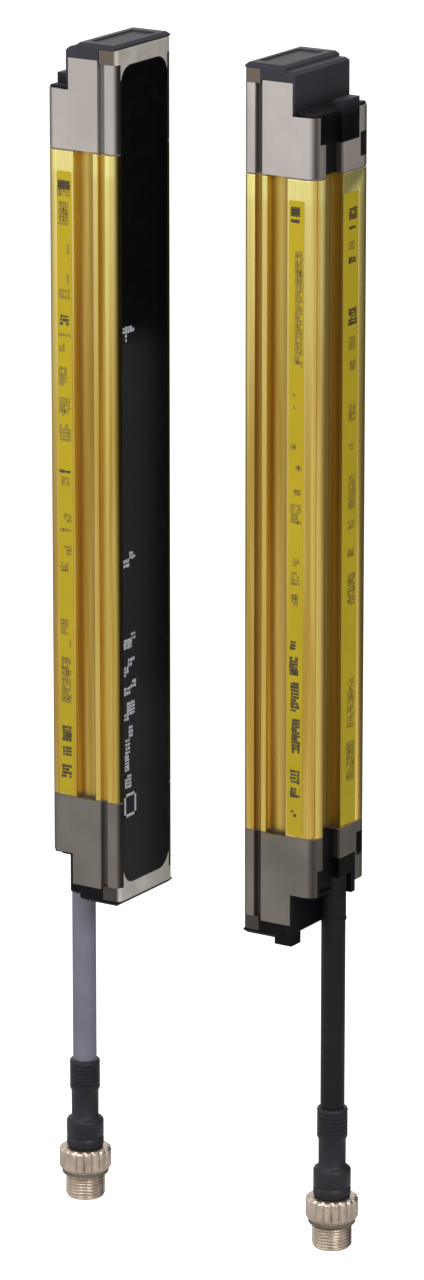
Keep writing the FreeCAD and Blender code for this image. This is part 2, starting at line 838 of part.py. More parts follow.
def upside_down(shape):
    """The same piece at the bottom end."""
    return shape.mirror(Vector(0, 0, 0), Vector(0, 0, 1))


def bar_pieces():
    """Every piece that both bars share, in the bar's own frame."""
    bottom_cap = cut(make_end_cap(), gland_room())
    return {
        "housing": make_housing(),
        "window": make_window(),
        "window_seal": make_window_seal(),
        "top_cap": make_end_cap(),
        "bottom_cap": upside_down(bottom_cap),
        "top_gasket": make_cap_gasket(),
        "bottom_gasket": upside_down(make_cap_gasket()),
        "top_bezel": make_bezel(),
        "bottom_bezel": upside_down(make_bezel()),
        "top_cover": make_cover(False),
        "bottom_cover": upside_down(make_cover(True)),
        "top_screws": make_cap_screws(),
        "bottom_screws": upside_down(make_cap_screws()),
        "lens_strip": make_lens_strip(),
        "optics_carrier": make_optics_carrier(),
        "beam_board": make_beam_board(),
        "control_board": make_control_board(),
        "light_pipe": make_light_pipe(),
        "back_label": make_back_label(),
        "cable_gland": make_gland(),
        "cable": make_cable(),
        "plug_body": make_plug_body(),
        "plug_nut": make_plug_nut(),
        "plug_insert": make_plug_insert(),
        "plug_pins": make_plug_pins(),
        "plug_ring": make_plug_ring(),
    }


def place_receiver(shape):
    """The receiver's back face lies in the plane X = 0."""
    placed = shape.copy()
    placed.translate(Vector(-bar_depth, 0, 0))
    return placed


def place_emitter(shape):
    """The emitter is turned half round, its window across the field from the receiver's."""
    placed = shape.copy()
    placed.rotate(Vector(0, 0, 0), Vector(0, 0, 1), 180)
    placed.translate(Vector(-bar_depth - field_gap, 0, 0))
    return placed


def main():
    """Write one file for each piece."""
    os.makedirs("parts", exist_ok=True)
    shared = bar_pieces()
    emitter = dict(shared, beam_leds=make_beam_leds(), side_label=make_side_label(1))
    receiver = dict(shared, photodiodes=make_photodiodes(), side_label=make_side_label(-1))
    for bar, pieces, place in (("emitter", emitter, place_emitter), ("receiver", receiver, place_receiver)):
        for name, shape in pieces.items():
            place(shape).exportStep(f"parts/{bar}_{name}.step")


main()
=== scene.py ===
import math

import bmesh
import bpy
from mathutils import Matrix, Vector


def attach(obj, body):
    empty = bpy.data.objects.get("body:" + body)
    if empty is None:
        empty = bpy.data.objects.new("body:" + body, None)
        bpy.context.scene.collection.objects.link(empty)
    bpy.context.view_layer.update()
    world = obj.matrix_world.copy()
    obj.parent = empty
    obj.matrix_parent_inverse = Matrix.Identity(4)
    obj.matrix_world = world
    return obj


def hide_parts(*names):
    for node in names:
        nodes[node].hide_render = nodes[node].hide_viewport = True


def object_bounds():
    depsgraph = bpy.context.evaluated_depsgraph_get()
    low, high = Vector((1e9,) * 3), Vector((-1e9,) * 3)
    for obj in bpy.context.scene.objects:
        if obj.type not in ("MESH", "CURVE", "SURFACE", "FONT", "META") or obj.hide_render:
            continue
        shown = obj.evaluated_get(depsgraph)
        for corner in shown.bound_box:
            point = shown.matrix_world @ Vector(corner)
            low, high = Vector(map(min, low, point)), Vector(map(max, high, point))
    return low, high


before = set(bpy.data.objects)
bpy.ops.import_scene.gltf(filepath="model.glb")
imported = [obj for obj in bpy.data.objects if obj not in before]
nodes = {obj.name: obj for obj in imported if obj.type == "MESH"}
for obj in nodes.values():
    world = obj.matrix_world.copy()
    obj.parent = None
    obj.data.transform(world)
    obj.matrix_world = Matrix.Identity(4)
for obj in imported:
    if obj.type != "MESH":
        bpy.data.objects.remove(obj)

cad_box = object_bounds()

# A pair of safety light curtain bars. In the photograph the emitter stands left and the receiver right.
# Lengths are in metres where no comment says millimetres, in the part's own frame: +Z up, +X out of the
# receiver's back face.
mm = 0.001
bars = ("emitter", "receiver")

# The upright plane midway between the bars, how far from it their windows, side slots and backs lie, and
# half of a bar's width
midway = -46.5 * mm
window_off = 21.5 * mm
slot_off = 33.0 * mm
back_off = 46.5 * mm
half_width = 15.0 * mm

# Each bar is drawn in its own frame, as in the part's source: X from the window to the back, Y across, Z up
to_part = {
    "receiver": Matrix.Translation((midway + window_off, 0.0, 0.0)),
    "emitter": Matrix.Translation((midway - window_off, 0.0, 0.0)) @ Matrix.Rotation(math.pi, 4, "Z"),
}


class Value:
    """A node socket that takes part in sums, products and comparisons."""

    def __init__(self, builder, socket):
        self.builder = builder
        self.socket = socket

    def maths(self, operation, *others, flip=False):
        terms = [self, *others]
        if flip:
            terms.reverse()
        return self.builder.node("ShaderNodeMath", {"operation": operation}, dict(enumerate(terms)))[0]

    def __add__(self, other):
        return self.maths("ADD", other)

    def __sub__(self, other):
        return self.maths("SUBTRACT", other)

    def __mul__(self, other):
        return self.maths("MULTIPLY", other)

    def __radd__(self, other):
        return self.maths("ADD", other)

    def __rsub__(self, other):
        return self.maths("SUBTRACT", other, flip=True)

    def __gt__(self, other):
        return self.maths("GREATER_THAN", other)

    def size(self):
        return self.maths("ABSOLUTE")

    def least(self, other):
        return self.maths("MINIMUM", other)

    def smooth(self, start, end):
        """0 before start, 1 after end, and a smooth step between."""
        settings = {"interpolation_type": "SMOOTHSTEP"}
        inputs = {"Value": self, "From Min": start, "From Max": end}
        return self.builder.node("ShaderNodeMapRange", settings, inputs)[0]

    def clamped(self):
        return self.builder.node("ShaderNodeClamp", {}, {"Value": self})[0]


class Made:
    """A new node. Its outputs are read by number or name."""

    def __init__(self, builder, item):
        self.builder = builder
        self.item = item

    def __getitem__(self, key):
        return Value(self.builder, self.item.outputs[key])


class Builder:
    """Makes the nodes of one tree, for a material or for geometry."""

    def __init__(self, tree):
        self.tree = tree
        tree.nodes.clear()

    def node(self, kind, settings=None, inputs=None):
        item = self.tree.nodes.new(kind)
        for name, value in (settings or {}).items():
            setattr(item, name, value)
        for key, value in (inputs or {}).items():
            if isinstance(value, Value):
                self.tree.links.new(value.socket, item.inputs[key])
            else:
                item.inputs[key].default_value = value
        return Made(self, item)


class Finish(Builder):
    """A material round one Principled shader, with constants on the shader's own sockets."""

    def __init__(self, name, constants):
        self.material = bpy.data.materials.new(name)
        self.material.use_nodes = True
        super().__init__(self.material.node_tree)
        self.shader = self.node("ShaderNodeBsdfPrincipled", {}, constants)
        self.node("ShaderNodeOutputMaterial", {}, {"Surface": self.shader["BSDF"]})

    def feed(self, name, value):
        self.tree.links.new(value.socket, self.shader.item.inputs[name])

    def place(self):
        """The surface's own place, in metres."""
        return self.node("ShaderNodeTexCoord")["Object"]

    def parts(self, point):
        """The X, Y and Z of a place."""
        made = self.node("ShaderNodeSeparateXYZ", {}, {"Vector": point})
        return made[0], made[1], made[2]

    def stretched(self, point, scale):
        return self.node("ShaderNodeMapping", {}, {"Vector": point, "Scale": scale})[0]

    def front_depth(self, x):
        """How far a point lies in from its bar's front."""
        return (x - midway).size() - window_off

    def inward_depth(self, x, y):
        """How far a point lies in from its bar's nearest side, or from its back."""
        return (half_width - y.size()).least(back_off - (x - midway).size())

    def noise(self, point, scale, detail, roughness):
        inputs = {"Vector": point, "Scale": scale, "Detail": detail, "Roughness": roughness}
        return self.node("ShaderNodeTexNoise", {}, inputs)[0]

    def blend(self, factor, first, second):
        """A colour between two, by a factor."""
        return self.node("ShaderNodeMix", {"data_type": "RGBA"}, {0: factor, 6: first, 7: second})[2]

    def bump(self, height, strength, distance=0.02 * mm):
        inputs = {"Height": height, "Strength": strength, "Distance": distance}
        return self.node("ShaderNodeBump", {}, inputs)[0]


def rgb(red, green, blue):
    """A colour written as it shows on screen, turned into the linear light that shaders use."""
    parts = [((c + 0.055) / 1.055) ** 2.4 if c > 0.04045 else c / 12.92 for c in (red, green, blue)]
    return (*parts, 1.0)


def gold_extrusion():
    """Gold aluminium with draw lines, a painted pale sheen at the top, painted shade in the slots and
    channel, and a painted dark reflection on the rims' fronts.
    """
    made = Finish("gold_extrusion", {})
    point = made.place()
    x, y, z = made.parts(point)
    front = made.front_depth(x)
    inward = made.inward_depth(x, y)
    receiver = x > midway
    # How far a point lies towards +X from the middle of its bar's side slots
    along = (front - (slot_off - window_off)) * (receiver * 2.0 - 1.0)
    lines = made.noise(made.stretched(point, (1.0, 1.0, 0.004)), 1900.0, 4.0, 0.6)
    bands = made.noise(made.stretched(point, (1.0, 1.0, 0.02)), 420.0, 2.0, 0.5)
    cloud = made.noise(made.stretched(point, (1.0, 1.0, 0.25)), 60.0, 3.0, 0.55)
    base = made.blend(bands.smooth(0.35, 0.65), rgb(0.77, 0.63, 0.29), rgb(0.89, 0.78, 0.43))
    # Painted pale sheen towards the top, kept off the recesses
    height = z.smooth(0.0, 97.0 * mm) * 0.7 + z.smooth(89.0 * mm, 93.0 * mm) * 0.3
    base = made.blend(height * (1.0 - inward.smooth(0.2 * mm, 1.0 * mm) * 0.85), base, rgb(1.0, 0.95, 0.61))
    base = made.blend(lines.smooth(0.45, 0.8) * 0.3, base, rgb(0.60, 0.46, 0.16))
    # Painted shade on walls a little way in, and on the slots' floors, darker towards +X
    wall_shade = 0.18 + receiver * along.smooth(-4.2 * mm, -4.6 * mm) * 0.5
    floor_shade = along.smooth(-1.5 * mm, 2.5 * mm) * along.smooth(4.6 * mm, 4.2 * mm) * 0.62
    shade = inward.smooth(0.1 * mm, 1.3 * mm) * wall_shade + inward.smooth(1.7 * mm, 2.8 * mm) * (floor_shade - 0.15)
    base = made.blend(shade.clamped(), base, rgb(0.50, 0.33, 0.12))
    # Painted shade deep in the back channel
    channel = inward.smooth(3.5 * mm, 5.0 * mm)
    base = made.blend(channel * 0.8, base, rgb(0.47, 0.40, 0.20))
    # Painted dark reflection on the rims' fronts
    base = made.blend(front.smooth(1.6 * mm, 0.1 * mm) * 0.9, base, rgb(0.16, 0.13, 0.06))
    made.feed("Base Color", base)
    made.feed("Metallic", 1.0 - channel * 0.5)
    made.feed("Roughness", 0.27 + lines * 0.12 + cloud * 0.06)
    made.feed("Normal", made.bump(lines, 0.12))
    return made.material


def silver_casting(name, light, dark):
    """Satin silver-grey metal of the end caps, with painted shade in its grooves and a painted dark
    reflection on its rear corners and rim fronts.
    """
    made = Finish(name, {"Metallic": 0.6})
    point = made.place()
    x, y, z = made.parts(point)
    front = made.front_depth(x)
    inward = made.inward_depth(x, y)
    grain = made.noise(made.stretched(point, (1.0, 1.0, 0.08)), 1500.0, 4.0, 0.6)
    flake = made.noise(point, 5200.0, 2.0, 0.6)
    shade = made.noise(point, 45.0, 3.0, 0.5)
    base = made.blend(shade.smooth(0.3, 0.7), dark, light)
    base = made.blend(grain.smooth(0.4, 0.8) * 0.25, base, dark)
    # Painted shade in the grooves, deeper on the receiver
    groove_shade = inward.smooth(0.15 * mm, 1.3 * mm) * (0.55 + (x > midway) * 0.35)
    base = made.blend(groove_shade, base, rgb(0.14, 0.12, 0.10))
    # Painted dark reflection on the rounded rear corners
    corner = front.smooth(21.8 * mm, 23.6 * mm) * y.size().smooth(9.5 * mm, 11.5 * mm)
    base = made.blend(corner * 0.6, base, rgb(0.24, 0.21, 0.18))
    # Painted dark reflection on the rim fronts
    base = made.blend(front.smooth(1.4 * mm, 0.1 * mm) * 0.9, base, rgb(0.10, 0.10, 0.10))
    made.feed("Base Color", base)
    made.feed("Roughness", 0.36 + grain * 0.12)
    made.feed("Normal", made.bump(flake + grain, 0.10))
    return made.material


def bezel_metal(name, side_shade):
    """Warm satin trim round the window's ends, with painted shade on its sides."""
    made = Finish(name, {"Metallic": 0.4})
    point = made.place()
    front = made.front_depth(made.parts(point)[0])
    grain = made.noise(made.stretched(point, (1.0, 0.1, 1.0)), 2400.0, 4.0, 0.6)
    shade = made.noise(point, 90.0, 2.0, 0.5)
    base = made.blend(shade.smooth(0.35, 0.7), rgb(0.74, 0.72, 0.68), rgb(0.84, 0.82, 0.78))
    # Painted shade on the trim's sides, deeper on the bottom trim
    base = made.blend(front.smooth(0.3 * mm, 1.2 * mm) * (0.9 + grain * 0.1), base, side_shade)
    made.feed("Base Color", base)
    made.feed("Roughness", 0.42 + grain * 0.15)
    made.feed("Normal", made.bump(grain, 0.08))
    return made.material


def moulded_plastic(name, dark, light, roughness, texture=2600.0, shine=0.5, sheen_share=0.0):
    """Fine-textured moulded plastic, greyer on the upper end covers by the given share, as a painted sheen.
    """
    made = Finish(name, {"Specular IOR Level": shine})
    point = made.place()
    height = made.parts(point)[2]
    texture_height = made.noise(point, texture, 3.0, 0.6)
    cloud = made.noise(point, 70.0, 3.0, 0.5)
    base = made.blend(cloud.smooth(0.3, 0.75), rgb(*dark), rgb(*light))
    # Painted sheen on the upper end covers
    top = height.smooth(113.0 * mm, 122.0 * mm) * sheen_share
    made.feed("Base Color", made.blend(top, base, rgb(0.36, 0.36, 0.40)))
    made.feed("Roughness", roughness + texture_height * 0.12 + cloud * 0.05)
    made.feed("Normal", made.bump(texture_height, 0.25, 0.04 * mm))
    return made.material


def window_plastic():
    """Glossy near-black front plate."""
    made = Finish("window_plastic", {"IOR": 1.49, "Coat Weight": 0.3, "Coat Roughness": 0.03})
    point = made.place()
    ripple = made.noise(point, 35.0, 2.0, 0.5)
    haze = made.noise(point, 240.0, 3.0, 0.6)
    base = made.blend(haze.smooth(0.4, 0.7), rgb(0.045, 0.045, 0.05), rgb(0.06, 0.06, 0.065))
    made.feed("Base Color", base)
    made.feed("Roughness", 0.07 + haze * 0.04)
    made.feed("Normal", made.bump(ripple, 0.03, 0.3 * mm))
    return made.material


def label_film(name, colour):
    """Satin printed film."""
    made = Finish(name, {"Specular IOR Level": 0.3})
    point = made.place()
    fibre = made.noise(point, 900.0, 3.0, 0.6)
    cloud = made.noise(point, 30.0, 2.0, 0.5)
    darker = tuple(c * 0.9 for c in colour[:3]) + (1.0,)
    made.feed("Base Color", made.blend(cloud.smooth(0.3, 0.7), darker, colour))
    made.feed("Roughness", 0.38 + fibre * 0.1)
    made.feed("Normal", made.bump(fibre, 0.08))
    return made.material


def printed_ink(name, colour):
    """Thin screen-printed ink."""
    made = Finish(name, {})
    patch = made.noise(made.place(), 1400.0, 3.0, 0.6)
    lighter = tuple(min(1.0, c * 1.3 + 0.004) for c in colour[:3]) + (1.0,)
    made.feed("Base Color", made.blend(patch.smooth(0.4, 0.8), colour, lighter))
    made.feed("Roughness", 0.45 + patch * 0.1)
    return made.material


def nickel_plate():
    """Warm satin nickel on turned brass."""
    made = Finish("nickel_plate", {"Metallic": 0.95})
    point = made.place()
    turning = made.noise(made.stretched(point, (0.15, 0.15, 1.0)), 3000.0, 3.0, 0.6)
    shade = made.noise(point, 300.0, 3.0, 0.5)
    base = made.blend(shade.smooth(0.3, 0.7), rgb(0.68, 0.62, 0.56), rgb(0.78, 0.72, 0.66))
    made.feed("Base Color", base)
    made.feed("Roughness", 0.24 + turning * 0.14)
    made.feed("Normal", made.bump(turning, 0.08))
    return made.material


def contact_gold():
    """Gold plated contacts."""
    made = Finish("contact_gold", {"Metallic": 1.0})
    shade = made.noise(made.place(), 2000.0, 2.0, 0.5)
    made.feed("Base Color", made.blend(shade, rgb(0.86, 0.66, 0.30), rgb(0.93, 0.76, 0.42)))
    made.feed("Roughness", 0.2 + shade * 0.12)
    return made.material


def circuit_board():
    """Green solder mask with faint tracks."""
    made = Finish("circuit_board", {"Coat Weight": 0.3, "Coat Roughness": 0.2})
    point = made.place()
    bricks = {"Vector": point, "Scale": 260.0, "Mortar Size": 0.03, "Mortar": rgb(0.16, 0.50, 0.26),
              "Color1": rgb(0.08, 0.34, 0.18), "Color2": rgb(0.09, 0.38, 0.20)}
    tracks = made.node("ShaderNodeTexBrick", {}, bricks)
    weave = made.noise(point, 1800.0, 2.0, 0.5)
    made.feed("Base Color", tracks[0])
    made.feed("Roughness", 0.35 + weave * 0.12)
    made.feed("Normal", made.bump(tracks[1], 0.2, 0.03 * mm))
    return made.material


def zinc_steel():
    """Bright zinc plated screw steel."""
    made = Finish("zinc_steel", {"Metallic": 1.0})
    shade = made.noise(made.place(), 900.0, 3.0, 0.6)
    made.feed("Base Color", made.blend(shade, rgb(0.66, 0.67, 0.70), rgb(0.80, 0.80, 0.80)))
    made.feed("Roughness", 0.25 + shade * 0.15)
    return made.material


def clear_plastic():
    """Clear moulded lens plastic."""
    made = Finish("clear_plastic", {"Transmission Weight": 0.85, "IOR": 1.49})
    shade = made.noise(made.place(), 200.0, 2.0, 0.5)
    made.feed("Base Color", made.blend(shade, rgb(0.92, 0.93, 0.95), rgb(0.97, 0.97, 0.98)))
    made.feed("Roughness", 0.05 + shade * 0.05)
    return made.material


black_plastic = moulded_plastic("black_plastic", (0.02, 0.02, 0.025), (0.06, 0.06, 0.07), 0.32,
                                shine=0.09, sheen_share=0.3)
plug_plastic = moulded_plastic("plug_plastic", (0.11, 0.11, 0.13), (0.16, 0.15, 0.18), 0.36, shine=0.22)
gland_rubber = moulded_plastic("gland_rubber", (0.04, 0.04, 0.045), (0.08, 0.08, 0.09), 0.45, shine=0.15)
gasket_rubber = moulded_plastic("gasket_rubber", (0.36, 0.33, 0.28), (0.42, 0.38, 0.32), 0.6)
seal_rubber = moulded_plastic("seal_rubber", (0.07, 0.07, 0.07), (0.10, 0.10, 0.10), 0.65)
insert_plastic = moulded_plastic("insert_plastic", (0.09, 0.09, 0.09), (0.12, 0.12, 0.12), 0.4)
component_plastic = moulded_plastic("component_plastic", (0.12, 0.10, 0.14), (0.16, 0.14, 0.18), 0.25)
jackets = {
    "emitter": moulded_plastic("grey_jacket", (0.40, 0.40, 0.45), (0.44, 0.44, 0.49), 0.42, texture=1500.0),
    "receiver": moulded_plastic("black_jacket", (0.05, 0.05, 0.07), (0.08, 0.08, 0.10), 0.30,
                                texture=1500.0, shine=0.18),
}
clear_lens = clear_plastic()
green_board = circuit_board()
screw_steel = zinc_steel()
finishes = {
    "housing": gold_extrusion(),
    "window": window_plastic(),
    "window_seal": seal_rubber,
    # The bottom caps are the same casting as the top ones; their darker colours are painted shade
    "top_cap": silver_casting("top_cap_metal", rgb(0.73, 0.70, 0.68), rgb(0.67, 0.64, 0.62)),
    "bottom_cap": silver_casting("bottom_cap_metal", rgb(0.48, 0.46, 0.43), rgb(0.41, 0.39, 0.36)),
    # The bottom trim's darker sides are painted shade
    "top_bezel": bezel_metal("top_bezel_metal", rgb(0.32, 0.27, 0.22)),
    "bottom_bezel": bezel_metal("bottom_bezel_metal", rgb(0.12, 0.10, 0.08)),
    "top_cover": black_plastic,
    "bottom_cover": black_plastic,
    "top_gasket": gasket_rubber,
    "bottom_gasket": gasket_rubber,
    "top_screws": screw_steel,
    "bottom_screws": screw_steel,
    "lens_strip": clear_lens,
    "light_pipe": clear_lens,
    "optics_carrier": insert_plastic,
    "beam_board": green_board,
    "control_board": green_board,
    "beam_leds": component_plastic,
    "photodiodes": component_plastic,
    "side_label": label_film("side_label_film", rgb(0.69, 0.60, 0.07)),
    "back_label": label_film("back_label_film", rgb(0.70, 0.62, 0.12)),
    "cable_gland": gland_rubber,
    "plug_body": plug_plastic,
    "plug_nut": nickel_plate(),
    "plug_insert": insert_plastic,
    "plug_pins": contact_gold(),
    "plug_ring": gasket_rubber,
}


def wear(piece, material):
    """Gives a piece its one material."""
    piece.data.materials.clear()
    piece.data.materials.append(material)


def place_in_scene(name, data):
    """A new object that holds the given mesh, curve, lamp or camera."""
    holder = bpy.data.objects.new(name, data)
    bpy.context.scene.collection.objects.link(holder)
    return holder


def dress(piece, material, slot, *stood_for):
    """Gives a finished piece its material, hangs it on the root body and hides the CAD nodes that it stands
    for. The slot is not used.
    """
    wear(piece, material)
    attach(piece, "root")
    if stood_for:
        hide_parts(*stood_for)


for name, node in nodes.items():
    bar, _, part = name.partition("_")
    wear(node, jackets[bar] if part == "cable" else finishes[part])

# Cables, pulled straight down by the plug's weight from where each leaves its gland
cable_diameter = 7.2 * mm
cable_length = 58.5 * mm
cable_top = -126.5 * mm
cable_exits = {"emitter": (-89.4 * mm, -1.6 * mm, cable_top), "receiver": (-3.6 * mm, 1.6 * mm, cable_top)}
cable_slots = {"emitter": "cable_grey", "receiver": "cable_black"}


def make_cable(bar, carried):
    """One cable, a spline from its gland straight down. The carried plug pieces are not used."""
    curve = bpy.data.curves.new(f"{bar}_cable_jacket", "CURVE")
    curve.dimensions = "3D"
    curve.bevel_depth = cable_diameter / 2
    curve.bevel_resolution = 10
    curve.resolution_u = 24
    curve.use_fill_caps = True
    spline = curve.splines.new("NURBS")
    start = Vector(cable_exits[bar])
    end = Vector((start.x, start.y, cable_top - cable_length))
    route = [start, start.lerp(end, 1 / 3), start.lerp(end, 2 / 3), end]
    spline.points.add(len(route) - 1)
    for point, place in zip(spline.points, route):
        point.co = (*place, 1.0)
    spline.order_u = 3
    spline.use_endpoint_u = True
    piece = place_in_scene(curve.name, curve)
    dress(piece, jackets[bar], cable_slots[bar], f"{bar}_cable")


def smooth_sides(mesh, degrees):
    """Smooth shading, broken at every corner sharper than the angle."""
    for face in mesh.polygons:
        face.use_smooth = True
    mesh.set_sharp_from_angle(angle=math.radians(degrees))


# In a copied node, corners closer than the gap are one, and faces that turn less than the flat angle are
# one. Edges that turn more than the sharp angle are rounded. Both angles are in degrees.
merge_gap = 0.002 * mm
flat_angle = 0.5
sharp_angle = 24.0

# The housing's back land and the thin seat that its label lies in
back_land = 24.8 * mm
seat_sides = (-0.9 * mm, 7.8 * mm)
channel_rim = -0.75 * mm
seat_end = 97.2 * mm


def rounding_share(part, place):
    """How much of its rounding an edge gets, by its middle in the bar's own frame.

    Edges in the label's thin seat get none, and edges on the channel's rim get half.
    """
    if part != "housing" or place.x < back_land or not seat_sides[0] < place.y < seat_sides[1]:
        return 1.0
    if place.y < channel_rim:
        return 0.5
    return 0.0 if abs(place.z) < seat_end else 1.0


def ease_edges(bar, part, width, slot):
    """A copy of a CAD node, merged, with every sharp edge given a small rounding."""
    name = f"{bar}_{part}"
    mesh = nodes[name].data.copy()
    mesh.transform(nodes[name].matrix_world)
    work = bmesh.new()
    work.from_mesh(mesh)
    bmesh.ops.remove_doubles(work, verts=work.verts, dist=merge_gap)
    bmesh.ops.dissolve_limit(work, angle_limit=math.radians(flat_angle), verts=work.verts, edges=work.edges)
    shares = work.edges.layers.float.new("bevel_weight_edge")
    to_bar = to_part[bar].inverted()
    for edge in work.edges:
        if edge.is_manifold and edge.calc_face_angle() > math.radians(sharp_angle):
            middle = (edge.verts[0].co + edge.verts[1].co) / 2
            edge[shares] = rounding_share(part, to_bar @ middle)
    work.to_mesh(mesh)
    work.free()
    smooth_sides(mesh, sharp_angle)
    piece = place_in_scene(f"{name}_eased", mesh)
    rounding = piece.modifiers.new("rounding", "BEVEL")
    rounding.width = width * mm
    rounding.segments = 2
    rounding.limit_method = "WEIGHT"
    rounding.harden_normals = True
    dress(piece, finishes[part], slot, name)


# CAD nodes that only get rounded edges: the rounding in millimetres, and the slot in the record
eased_parts = {
    "housing": (0.14, "housing_paint"),
    "window": (0.25, "window_plastic"),
    "top_cap": (0.3, "cap_silver"),
    "bottom_cap": (0.3, "cap_silver"),
    "top_bezel": (0.22, "bezel_metal"),
    "bottom_bezel": (0.22, "bezel_metal"),
    "top_cover": (0.4, "cover_plastic"),
    "bottom_cover": (0.4, "cover_plastic"),
    "cable_gland": (0.25, "gland_rubber"),
}
for bar in bars:
    for part, (width, slot) in eased_parts.items():
        ease_edges(bar, part, width, slot)


def shaped_rings(name, rings, sides):
    """A closed solid of rings, each a rule that gives radius and height at a turn round its upright axis."""
    work = bmesh.new()
    turns = [2 * math.pi * index / sides for index in range(sides)]
    loops = []
    for rule in rings:
        loop = []
        for turn in turns:
            radius, height = rule(turn)
            loop.append(work.verts.new((radius * math.cos(turn), radius * math.sin(turn), height)))
        loops.append(loop)
    for first, second in zip(loops, loops[1:] + loops[:1]):
        for index in range(sides):
            after = (index + 1) % sides
            work.faces.new((first[index], first[after], second[after], second[index]))
    bmesh.ops.recalc_face_normals(work, faces=work.faces)
    mesh = bpy.data.meshes.new(name)
    work.to_mesh(mesh)
    work.free()
    return mesh


def flat_rings(*spots):
    """The rules of plain round rings, each given by its radius and height in millimetres."""
    return [lambda turn, radius=radius, height=height: (radius * mm, height * mm) for radius, height in spots]


# The plug hangs on the cable's line. Its heights and the sizes of its pieces are in millimetres, and the
# heights repeat those of the part's source.
plug_x = 21.4 * mm
plug_y = 1.6 * mm
cable_end = -185.0
grip_end = -194.0
waist_end = -204.0
collar_end = -213.0
nut_end = -220.2
thread_end = -228.9


def hang_plug_piece(bar, mesh, node_part, slot):
    """Moves a mesh drawn round the upright axis onto the bar's plug, where it stands for a CAD node."""
    mesh.transform(to_part[bar] @ Matrix.Translation((plug_x, plug_y, 0.0)))
    piece = place_in_scene(mesh.name, mesh)
    dress(piece, finishes[node_part], slot, f"{bar}_{node_part}")
    return piece


def make_grip(bar):
    """The moulded grip: shallow finger grooves, a waist and a round-shouldered collar."""
    neck = 4.58
    waist = 4.08
    collar = 5.63
    groove_count = 6
    rings = flat_rings((1.0, cable_end), (3.9, cable_end), (4.4, cable_end - 0.15), (neck, cable_end - 0.5))
    for index in range(groove_count):
        top = cable_end - 1.3 - 1.2 * index
        rings += flat_rings((neck, top), (4.3, top - 0.2), (4.3, top - 0.45), (neck, top - 0.65))
    rings += flat_rings(
        (neck, grip_end), (4.4, grip_end - 0.4), (4.12, grip_end - 1.0),
        (waist, waist_end + 1.1), (4.5, waist_end + 0.45), (5.3, waist_end),
        (5.6, waist_end - 0.5), (collar, waist_end - 1.0), (collar, waist_end - 5.2),
        (5.4, waist_end - 5.4), (5.4, waist_end - 5.8), (collar, waist_end - 6.0),
        (collar, collar_end + 0.9), (5.45, collar_end + 0.3), (5.0, collar_end), (1.0, collar_end),
    )
    mesh = shaped_rings(f"{bar}_grip", rings, 64)
    smooth_sides(mesh, 50.0)
    return hang_plug_piece(bar, mesh, "plug_body", "plug_plastic")


def make_coupling_nut(bar):
    """The knurled nut and its sleeve, with a real fine thread that winds down it."""
    nut_radius = 7.85
    knurl_depth = 0.6
    knurl_count = 18
    knurl_chamfer = 0.35
    crest = 6.0
    thread_depth = 0.55
    flank_slope = 2.6
    flank_start = 0.15
    pitch = 1.0
    steps_per_turn = 10
    lead_in = 0.9
    lead_in_slope = 0.7
    root_end = nut_end - 1.3

    def knurl(height, sink):
        def rule(turn):
            share = abs((turn * knurl_count / (2 * math.pi)) % 1.0 - 0.5) * 2
            cut = knurl_depth * max(0.0, share - 0.5) * 2
            return (nut_radius - cut - sink) * mm, height * mm
        return rule

    def thread(height):
        def rule(turn):
            share = ((root_end - height) / pitch + turn / (2 * math.pi)) % 1.0
            depth = thread_depth * min(1.0, max(0.0, abs(share - 0.5) * flank_slope - flank_start))
            taper = max(0.0, lead_in - (height - thread_end)) * lead_in_slope
            return (crest - max(depth, taper)) * mm, height * mm
        return rule

    rings = flat_rings((4.1, collar_end), (6.9, collar_end))
    rings += [knurl(collar_end - 0.35, knurl_chamfer), knurl(collar_end - 0.8, 0.0)]
    rings += [knurl(nut_end + 1.1, 0.0), knurl(nut_end + 0.65, knurl_chamfer)]
    rings += flat_rings((6.95, nut_end + 0.3), (6.85, nut_end), (5.3, nut_end), (5.3, root_end))
    for index in range(round((root_end - thread_end) / pitch * steps_per_turn) + 1):
        rings.append(thread(root_end - pitch * index / steps_per_turn))
    rings += flat_rings((4.9, thread_end), (4.62, thread_end + 0.3), (4.62, nut_end), (4.1, nut_end))
    mesh = shaped_rings(f"{bar}_coupling_nut", rings, 120)
    smooth_sides(mesh, 32.0)
    # The thread's flanks stay smooth
    for edge in mesh.edges:
        ends = [mesh.vertices[index].co for index in edge.vertices]
        if all(end.z < root_end * mm and end.xy.length > (crest - 0.8) * mm for end in ends):
            edge.use_edge_sharp = False
    return hang_plug_piece(bar, mesh, "plug_nut", "nut_nickel")


def make_sealing_ring(bar):
    """The rubber ring above the thread, round in section at its outside."""
    low = nut_end - 1.2
    rings = flat_rings((5.42, nut_end), (6.6, nut_end), (6.95, nut_end - 0.15), (7.1, nut_end - 0.6),
                       (6.95, low + 0.15), (6.6, low), (5.42, low))
    mesh = shaped_rings(f"{bar}_sealing_ring", rings, 56)
    smooth_sides(mesh, 50.0)
    return hang_plug_piece(bar, mesh, "plug_ring", "seal_rubber")


for bar in bars:
    inner_parts = [nodes[f"{bar}_plug_insert"], nodes[f"{bar}_plug_pins"]]
    make_cable(bar, [make_grip(bar), make_coupling_nut(bar), make_sealing_ring(bar), *inner_parts])


